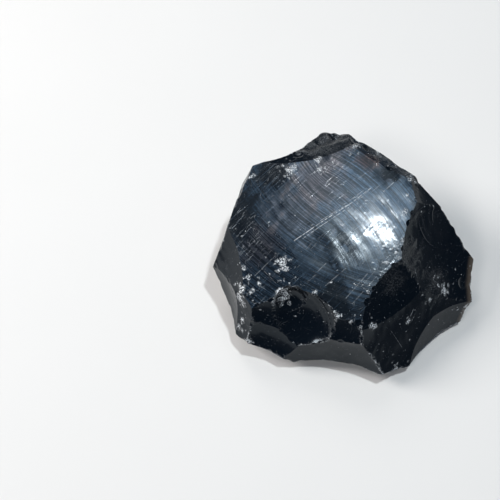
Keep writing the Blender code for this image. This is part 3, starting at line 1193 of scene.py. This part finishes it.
class NodeDesk:
    """A short way to lay out a material's nodes."""

    def __init__(self, name: str) -> None:
        """Start a material with a Principled shader.

        Args:
            name: The material's name.
        """
        self.material = bpy.data.materials.new(name)
        self.material.use_nodes = True
        self.tree = self.material.node_tree
        self.shader = self.tree.nodes["Principled BSDF"]

    def put(self, socket: Socket, value: Feed) -> None:
        """Link a socket, or set its value.

        Args:
            socket: The input socket.
            value: Another node's output, or a constant.
        """
        if isinstance(value, Socket):
            self.tree.links.new(value, socket)
        else:
            socket.default_value = value

    def node(self, kind: str, inputs: dict[str | int, Feed], **settings: str | bool) -> bpy.types.Node:
        """Add a node.

        Args:
            kind: Its kind, in Blender's words.
            inputs: What goes into its sockets.
            settings: Its settings.

        Returns:
            The node.
        """
        node = self.tree.nodes.new("ShaderNode" + kind)
        for setting, value in settings.items():
            setattr(node, setting, value)
        for name, value in inputs.items():
            self.put(node.inputs[name], value)
        return node

    def number(self, name: str) -> Socket:
        """One of the numbers that are stored on the stone."""
        return self.node("Attribute", {}, attribute_name=name).outputs["Fac"]

    def place(self, scale: Point = (1.0, 1.0, 1.0)) -> Socket:
        """The place on the stone, in millimetres.

        Args:
            scale: How far it is stretched along each axis.

        Returns:
            The place.
        """
        inputs = {"Vector": self.node("TexCoord", {}).outputs["Object"],
                  "Scale": tuple(size / MILLIMETRE for size in scale)}
        return self.node("Mapping", inputs, vector_type="POINT").outputs["Vector"]

    def turned(self, angle: float, scale: Point) -> Socket:
        """The place on the stone, turned about the upright and then stretched.

        Args:
            angle: How far it is turned, in degrees.
            scale: How far it is stretched along each axis.

        Returns:
            The place.
        """
        inputs = {"Vector": self.node("TexCoord", {}).outputs["Object"], "Angle": -math.radians(angle)}
        turn = self.node("VectorRotate", inputs, rotation_type="Z_AXIS")
        return self.vector("MULTIPLY", turn.outputs["Vector"], tuple(size / MILLIMETRE for size in scale))

    def join(self, *numbers: Feed) -> Socket:
        """Numbers as one place."""
        return self.node("CombineXYZ", dict(enumerate(numbers))).outputs["Vector"]

    def noise(self, place: Socket, noise: Noise) -> Socket:
        """Soft noise.

        Args:
            place: Where it is looked up.
            noise: Which noise.

        Returns:
            The noise, from zero to one.
        """
        inputs = {"Vector": place, "Scale": noise.scale, "Detail": noise.detail,
                  "Roughness": noise.roughness}
        soft = self.node("TexNoise", inputs).outputs["Fac"]
        return self.rise(soft, noise.step) if noise.step else soft

    def specks(self, specks: Specks) -> Socket:
        """Small round specks all over the stone.

        Args:
            specks: Which specks.

        Returns:
            How white each place is.
        """
        cells = self.node("TexVoronoi", {"Vector": self.place(), "Scale": specks.scale})
        chance = self.node("SeparateColor", {"Color": cells.outputs["Color"]}).outputs["Red"]
        wide = self.rise(chance, Step(specks.bare, 1.0, 0.0, specks.size))
        inside = self.sum("SUBTRACT", wide, cells.outputs["Distance"])
        return self.product(self.rise(inside, Step(0.0, specks.size * SPECK_EDGE)), specks.strength)

    def line(self, scratch: Scratch) -> Socket:
        """One straight scratch, seen from above.

        Args:
            scratch: The scratch.

        Returns:
            Its strength at each place.
        """
        start, end = Vector((*scratch.start, 0.0)), Vector((*scratch.end, 0.0))
        along = (end - start) / (end - start).length_squared
        offset = self.vector("SUBTRACT", self.place((1.0, 1.0, 0.0)), start)
        share = self.total(self.vector("DOT_PRODUCT", offset, along), 0.0)
        run = self.vector("SCALE", end - start, share)
        away = self.vector("DISTANCE", offset, run)
        return self.rise(away, Step(scratch.width, scratch.width * SCRATCH_CORE, 0.0, scratch.strength))

    def vector(self, operation: str, first: Feed, second: Feed) -> Socket:
        """The result of one sum with places.

        Args:
            operation: Which sum, in Blender's words.
            first: The first place.
            second: The second place, or the number that scales the first.

        Returns:
            The place or the number that comes out.
        """
        inputs = {0: first, "Scale" if operation == "SCALE" else 1: second}
        node = self.node("VectorMath", inputs, operation=operation)
        return node.outputs["Value" if operation in ("DOT_PRODUCT", "DISTANCE") else "Vector"]

    def rise(self, value: Socket, step: Step) -> Socket:
        """A soft step.

        Args:
            value: What is looked up.
            step: The step.

        Returns:
            The step at the value.
        """
        low, high = sorted(((step.start, step.bottom), (step.end, step.top)))
        inputs = {"Value": value, "From Min": low[0], "From Max": high[0],
                  "To Min": low[1], "To Max": high[1]}
        return self.node("MapRange", inputs, interpolation_type="SMOOTHSTEP").outputs["Result"]

    def sum(self, operation: str, first: Feed, second: Feed, clamp: bool = True) -> Socket:
        """The result of one sum in Blender's words, kept between zero and one unless told not to."""
        node = self.node("Math", {0: first, 1: second}, operation=operation, use_clamp=clamp)
        return node.outputs["Value"]

    def product(self, *feeds: Feed) -> Socket:
        """Numbers multiplied one after the other, kept between zero and one."""
        return reduce(partial(self.sum, "MULTIPLY"), feeds)

    def total(self, *feeds: Feed) -> Socket:
        """Numbers added one after the other, kept between zero and one."""
        return reduce(partial(self.sum, "ADD"), feeds)

    def most(self, *feeds: Feed) -> Socket:
        """The greatest of some numbers, kept between zero and one."""
        return reduce(partial(self.sum, "MAXIMUM"), feeds)

    def mix(self, share: Feed, first: Feed, second: Feed) -> Socket:
        """Two numbers mixed, with a share of the second."""
        return self.node("Mix", {0: share, 2: first, 3: second}, data_type="FLOAT").outputs[0]

    def blend(self, share: Feed, first: Feed, second: Feed) -> Socket:
        """Two colours mixed, with a share of the second."""
        return self.node("Mix", {0: share, 6: first, 7: second}, data_type="RGBA").outputs[2]

    def bump(self, height: Socket, depth: float, normal: Socket | None = None) -> Socket:
        """Fine relief.

        Args:
            height: Its height, from zero to one.
            depth: How much height one stands for, in millimetres.
            normal: The normal of the relief that it lies on, if any.

        Returns:
            The bent normal.
        """
        inputs = {"Strength": BUMP_STRENGTH, "Distance": depth * MILLIMETRE, "Height": height}
        if normal is not None:
            inputs["Normal"] = normal
        return self.node("Bump", inputs).outputs["Normal"]


@dataclass(frozen=True)
class GlassFinish:
    """Obsidian, glossy where it is fresh and frosted where it is old.

    Attributes:
        deep: The colour of the fresh glass.
        haze_and_sheen: The pale bluish colour of the frosted face, partly its own haze and partly painted
            sheen.
        plum_sheen: A warmer grey on parts of it, partly its own tone and partly painted sheen.
        rust: The red-brown stain near the north-east ridge.
        grit: The colour of the grainy broken strips.
        white: The colour of crushed glass, dust and scratches, and of the painted glints on sharp ridges.
        brown: The colour of light through the thin edge.
        sheen: The colour of what the glass mirrors.
        gloss: Roughness of the fresh glass.
        satin: Roughness of the frosted face.
        polish: Roughness of the smoother skin over the frosted face.
        grain_rougher: Roughness that grain adds.
        chalk_rougher: Roughness that crushed glass adds.
        glass_bend: How strongly the glass bends light.
        skin_bend: How strongly the smoother skin does.
        bare_matte: How matte a frosted face is where no haze patch lies.
        haze_matte: How much a haze patch adds to that.
        fresh_mirror: How well fresh glass mirrors.
        matte_mirror: How much a matte face adds to that.
        crumb: Fine noise all over.
        lines: The fine scratches that all run one way.
        lines_stretch: How their noise is stretched.
        scratch_turn: Which way they run, in degrees from the x axis.
        streaks: The streaks that follow the ripples of the two blows.
        streaks_fine: How fine those of each blow are.
        streaks_long: How fine they are along their run.
        streak_relief: How high the streaks stand, as a share of the relief.
        line_relief: How high the lines stand, as a share of it.
        relief_depth: The relief of both, in millimetres.
        grain_depth: The relief of grainy and crushed glass, in millimetres.
        skin_streaks: Where among the streaks that skin lies.
        skin_crumb: Where in the fine noise it lies.
        gaps: Where the long scratches break off.
        hairs: The faint short scratches.
        hair_turns: Which ways they run, in degrees, and how short each kind is.
        hair_stretch: How fine they are across their run, and down the stone.
        hair_fits: Where they lie.
        hair_frost: How many there are on fresh and on frosted glass.
        wear_and_glint_fits: Where sharp ridges are painted white, partly as wear and partly as glints.
        powder: How white glass is broken up.
        dust: The larger specks and the fine ones.
        bare_veil: The pale haze that lies everywhere on a frosted face, partly its own frost and partly
            painted sheen.
        line_veil: How much the lines add to it.
        veil_streaks: How the streaks break it up.
        veil_crumb: How the fine noise breaks it up.
        grain_crumb: Where in the fine noise a grainy strip is pale.
    """

    deep: Colour = (0.002, 0.0035, 0.006, 1.0)
    haze_and_sheen: Colour = (0.078, 0.135, 0.208, 1.0)
    plum_sheen: Colour = (0.14, 0.125, 0.14, 1.0)
    rust: Colour = (0.12, 0.055, 0.04, 1.0)
    grit: Colour = (0.09, 0.09, 0.09, 1.0)
    white: Colour = (0.75, 0.77, 0.79, 1.0)
    brown: Colour = (0.085, 0.066, 0.052, 1.0)
    sheen: Colour = (0.78, 0.9, 1.0, 1.0)
    gloss: float = 0.13
    satin: float = 0.5
    polish: float = 0.15
    grain_rougher: float = 0.2
    chalk_rougher: float = 0.4
    glass_bend: float = 1.4
    skin_bend: float = 1.8
    bare_matte: float = 0.4
    haze_matte: float = 0.7
    fresh_mirror: float = 0.5
    matte_mirror: float = 0.5
    crumb: Noise = Noise(1.6, 4.0, 0.7)
    lines: Noise = Noise(1.0, 2.0, 0.6, Step(0.58, 0.7))
    lines_stretch: Point = (0.06, 2.4, 0.4)
    scratch_turn: float = 41.5
    streaks: Noise = Noise(1.0, 3.0, 0.6)
    streaks_fine: tuple[tuple[str, float], ...] = (("northeast", 2.6), ("southwest", 2.4))
    streaks_long: float = 0.07
    streak_relief: float = 0.6
    line_relief: float = 0.4
    relief_depth: float = 0.06
    grain_depth: float = 0.35
    skin_streaks: Step = Step(0.3, 0.7, 0.2)
    skin_crumb: Step = Step(0.3, 0.6, 0.3)
    gaps: Noise = Noise(1.4, step=Step(0.4, 0.58, 0.05, 0.75))
    hairs: Noise = Noise(1.0, 1.0, step=Step(0.7, 0.85, 0.0, 0.28))
    hair_turns: tuple[Spot, ...] = ((41.5, 0.1), (46.0, 0.12), (24.0, 0.2), (78.0, 0.3), (155.0, 0.25))
    hair_stretch: Span = (5.0, 0.5)
    hair_fits: Noise = Noise(0.12, 1.0, step=Step(0.4, 0.62, 0.15))
    hair_frost: Step = Step(0.0, 0.7, 0.25)
    wear_and_glint_fits: Noise = Noise(0.16, 1.0, step=Step(0.42, 0.62, 0.0, 0.75))
    powder: Noise = Noise(2.6, 2.0, 0.6, Step(0.47, 0.56))
    dust: tuple[Specks, Specks] = (Specks(0.6, 0.1, 0.55, 0.7), Specks(1.9, 0.18, 0.5, 0.28))
    bare_veil: float = 0.25
    line_veil: float = 0.18
    veil_streaks: Step = Step(0.43, 0.57, 0.15)
    veil_crumb: Step = Step(0.3, 0.65, 0.45)
    grain_crumb: Step = Step(0.5, 0.68, 0.05)

    def make(self) -> bpy.types.Material:
        """Lay out the material.

        Returns:
            The material.
        """
        desk = NodeDesk("obsidian_glass")
        frost = desk.number("frost")
        streaks = self._streaks(desk)
        lines = desk.noise(desk.turned(self.scratch_turn, self.lines_stretch), self.lines)
        crumb = desk.noise(desk.place(), self.crumb)
        # White crushed glass and dust, and painted glints on sharp ridges.
        chalk_and_glint = self._chalk_and_glint(desk)
        veil_and_sheen = self._veil_and_sheen(desk, frost, streaks, lines, crumb)
        colour = self._colour(desk, veil_and_sheen, crumb)
        colour = desk.blend(desk.most(chalk_and_glint, self._scratches(desk)), colour, self.white)
        hazed = desk.total(desk.product(desk.number("haze_and_sheen"), self.haze_matte), self.bare_matte)
        matte = desk.product(frost, hazed)
        rough = desk.total(desk.rise(matte, Step(0.0, 1.0, self.gloss, self.satin)),
                           desk.product(desk.number("grain"), self.grain_rougher),
                           desk.product(chalk_and_glint, self.chalk_rougher))
        coat = desk.product(matte, desk.rise(streaks, self.skin_streaks), desk.rise(crumb, self.skin_crumb))
        mirror = desk.total(desk.product(matte, self.matte_mirror), self.fresh_mirror)
        relief = desk.total(desk.product(streaks, self.streak_relief),
                            desk.product(lines, self.line_relief))
        grain = desk.product(desk.most(desk.number("grain"), desk.number("crushed")), crumb)
        normal = desk.bump(desk.product(relief, frost), self.relief_depth)
        normal = desk.bump(grain, self.grain_depth, normal)
        desk.put(desk.shader.inputs["Base Color"], colour)
        desk.put(desk.shader.inputs["Roughness"], rough)
        desk.put(desk.shader.inputs["Coat Weight"], coat)
        desk.put(desk.shader.inputs["Specular IOR Level"], mirror)
        desk.put(desk.shader.inputs["Normal"], normal)
        desk.put(desk.shader.inputs["Coat Normal"], normal)
        desk.shader.inputs["IOR"].default_value = self.glass_bend
        desk.shader.inputs["Coat IOR"].default_value = self.skin_bend
        desk.shader.inputs["Specular Tint"].default_value = self.sheen
        desk.shader.inputs["Coat Roughness"].default_value = self.polish
        return desk.material

    def _streaks(self, desk: NodeDesk) -> Socket:
        """Fine streaks that follow the ripples of the two blows.

        Args:
            desk: The desk of the material.

        Returns:
            The streaks, from zero to one.
        """
        kinds = []
        for name, fine in self.streaks_fine:
            sweep, turn = desk.number(name + "_sweep"), desk.number(name + "_turn")
            across = desk.sum("MULTIPLY", sweep, fine, clamp=False)
            along = desk.sum("MULTIPLY", turn, self.streaks_long, clamp=False)
            kinds.append(desk.noise(desk.join(across, along), self.streaks))
        return desk.mix(desk.number("upper_right"), *kinds)

    def _scratches(self, desk: NodeDesk) -> Socket:
        """The long scratches that can be told apart, and the many faint short ones.

        Args:
            desk: The desk of the material.

        Returns:
            How white each place is.
        """
        long = desk.most(*(desk.line(scratch) for scratch in SCRATCHES))
        short = desk.most(*(desk.noise(desk.turned(turn, (stretch, *self.hair_stretch)), self.hairs)
                            for turn, stretch in self.hair_turns))
        shown = desk.product(desk.noise(desk.place(), self.hair_fits),
                             desk.rise(desk.number("frost"), self.hair_frost))
        broken = desk.product(long, desk.noise(desk.place(), self.gaps))
        return desk.most(broken, desk.product(short, shown))

    def _chalk_and_glint(self, desk: NodeDesk) -> Socket:
        """White crushed glass, dust, and sharp ridges painted white, partly as wear and partly as glints.

        Args:
            desk: The desk of the material.

        Returns:
            How white each place is.
        """
        # Painted glints: sharp ridges turn white, partly wear and partly the glints they catch.
        wear_and_glint = desk.product(desk.number("wear_and_glint"), desk.noise(desk.place(), self.wear_and_glint_fits))
        crushed = desk.product(desk.most(desk.number("crushed"), wear_and_glint),
                               desk.noise(desk.place(), self.powder))
        return desk.most(crushed, *(desk.specks(specks) for specks in self.dust))

    def _veil_and_sheen(self, desk: NodeDesk, frost: Socket, streaks: Socket,
              lines: Socket, crumb: Socket) -> Socket:
        """How much pale haze lies on the frosted faces, partly their own frost and partly painted sheen.

        Args:
            desk: The desk of the material.
            frost: How frosted each face is.
            streaks: The streaks along the ripples.
            lines: The fine scratches across them.
            crumb: Fine noise.

        Returns:
            The haze and painted sheen, from zero to one.
        """
        haze_and_sheen = desk.product(desk.total(desk.number("haze_and_sheen"), self.bare_veil),
                            desk.rise(streaks, self.veil_streaks), desk.rise(crumb, self.veil_crumb))
        return desk.product(desk.total(haze_and_sheen, desk.product(lines, self.line_veil)), frost)

    def _colour(self, desk: NodeDesk, veil_and_sheen: Socket, crumb: Socket) -> Socket:
        """The colour under the crushed glass, the painted ridge glints and the scratches.

        Args:
            desk: The desk of the material.
            veil_and_sheen: How much pale haze and painted sheen there is.
            crumb: Fine noise.

        Returns:
            The colour.
        """
        # Painted sheen: the frosted faces' pale colour is partly their own haze and partly painted sheen,
        # warmer in the plum patches.
        tint = desk.blend(desk.number("plum_sheen"), self.haze_and_sheen, self.plum_sheen)
        tint = desk.blend(desk.number("rust"), tint, self.rust)
        colour = desk.blend(veil_and_sheen, self.deep, tint)
        grain = desk.product(desk.number("grain"), desk.rise(crumb, self.grain_crumb))
        colour = desk.blend(grain, colour, self.grit)
        return desk.blend(desk.number("thin"), colour, self.brown)


@dataclass
class Studio:
    """The floor, the lights and the camera, in millimetres.

    Attributes:
        camera_at: Where the camera stands.
        camera_down: How far it looks down, in degrees.
        lens: Its focal length.
        frame: How wide its frame is.
        nearest: What is closer to it than this isn't seen, in metres.
        aim: What the lamps look at.
        lamps: The lamps.
        floor_size: How wide the floor is.
        floor_colours: The two colours of its soft patches.
        floor_rough: How matte it is.
        floor_patches: Where those patches are.
        low_sky: The light of the room near the floor.
        high_sky: The light of the room higher up.
        sky_fade: How far up the first ends and the second begins, as shares of the way up.
    """

    camera_at: Point = (-30.35, -123.5, 247.0)
    camera_down: float = 62.0
    lens: float = 60.0
    frame: float = 36.0
    nearest: float = 0.01
    aim: Point = (0.0, 0.0, 15.0)
    lamps: tuple[Lamp, ...] = (
        Lamp("window", (-722.0, 153.0, 513.0), 340.0, 5.8, (1.0, 0.98, 0.96)),
        Lamp("front", (-426.0, -426.0, 669.0), 260.0, 1.7, (1.0, 0.98, 0.96), mirrored=False),
        Lamp("back", (-200.0, 620.0, 560.0), 380.0, 1.6, (1.0, 0.97, 0.94)),
        Lamp("overhead", (133.0, 56.0, 620.0), 40.0, 1.85, (0.88, 0.96, 1.0)),
    )
    floor_size: float = 1600.0
    floor_colours: tuple[Colour, Colour] = ((0.75, 0.73, 0.71, 1.0), (0.77, 0.75, 0.73, 1.0))
    floor_rough: float = 0.7
    floor_patches: Noise = Noise(0.02)
    low_sky: Colour = (0.15, 0.17, 0.2, 1.0)
    high_sky: Colour = (0.046, 0.073, 0.11, 1.0)
    sky_fade: Span = (-0.05, 0.38)

    def build(self) -> None:
        """Put up the floor, the lights and the camera."""
        self._floor()
        for lamp in self.lamps:
            self._hang(lamp)
        self._sky()
        self._camera()

    def _floor(self) -> None:
        """A wide pale floor."""
        half = self.floor_size / 2.0 * MILLIMETRE
        mesh = bpy.data.meshes.new("floor")
        corners = ((-half, -half, 0.0), (half, -half, 0.0), (half, half, 0.0), (-half, half, 0.0))
        mesh.from_pydata(corners, [], [(0, 1, 2, 3)])
        floor = bpy.data.objects.new("floor", mesh)
        bpy.context.scene.collection.objects.link(floor)
        desk = NodeDesk("pale_floor")
        patches = desk.noise(desk.place(), self.floor_patches)
        desk.put(desk.shader.inputs["Base Color"], desk.blend(patches, *self.floor_colours))
        desk.shader.inputs["Roughness"].default_value = self.floor_rough
        mesh.materials.append(desk.material)

    def _hang(self, lamp: Lamp) -> None:
        """Put up a lamp.

        Args:
            lamp: The lamp.
        """
        light = bpy.data.lights.new(lamp.name, "AREA")
        light.shape = "DISK"
        light.size = lamp.size * MILLIMETRE
        light.energy = lamp.watts
        light.color = lamp.colour
        item = bpy.data.objects.new(lamp.name, light)
        item.location = Vector(lamp.place) * MILLIMETRE
        item.rotation_euler = (Vector(self.aim) - Vector(lamp.place)).to_track_quat("-Z", "Y").to_euler()
        item.visible_glossy = lamp.mirrored
        bpy.context.scene.collection.objects.link(item)

    def _sky(self) -> None:
        """A dim cool room all round, a little lighter low down."""
        world = bpy.data.worlds.new("dim_room")
        world.use_nodes = True
        nodes, links = world.node_tree.nodes, world.node_tree.links
        place = nodes.new("ShaderNodeTexCoord")
        split = nodes.new("ShaderNodeSeparateXYZ")
        fade = nodes.new("ShaderNodeMapRange")
        mix = nodes.new("ShaderNodeMix")
        mix.data_type = "RGBA"
        links.new(place.outputs["Generated"], split.inputs["Vector"])
        links.new(split.outputs["Z"], fade.inputs["Value"])
        fade.interpolation_type = "SMOOTHERSTEP"
        fade.inputs["From Min"].default_value, fade.inputs["From Max"].default_value = self.sky_fade
        links.new(fade.outputs["Result"], mix.inputs[0])
        mix.inputs[6].default_value = self.low_sky
        mix.inputs[7].default_value = self.high_sky
        links.new(mix.outputs[2], nodes["Background"].inputs["Color"])
        bpy.context.scene.world = world

    def _camera(self) -> None:
        """Set up the camera."""
        lens = bpy.data.cameras.new("camera")
        lens.lens = self.lens
        lens.sensor_width = self.frame
        lens.clip_start = self.nearest
        camera = bpy.data.objects.new("camera", lens)
        camera.location = Vector(self.camera_at) * MILLIMETRE
        camera.rotation_euler = (math.radians(90.0 - self.camera_down), 0.0, 0.0)
        bpy.context.scene.collection.objects.link(camera)
        bpy.context.scene.camera = camera


def main() -> None:
    """Build the stone and its studio, and report them."""
    bpy.context.scene.view_settings.view_transform = "Standard"
    logging.basicConfig(level=logging.INFO, format="%(name)s: %(message)s")
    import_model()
    stone = Obsidian().build()
    stone.data.materials.append(GlassFinish().make())
    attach(stone, "root")
    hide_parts("obsidian_chunk")
    LOG.info("%s: %d triangles", stone.name, len(stone.data.polygons))
    Studio().build()


if __name__ == "__main__":
    main()
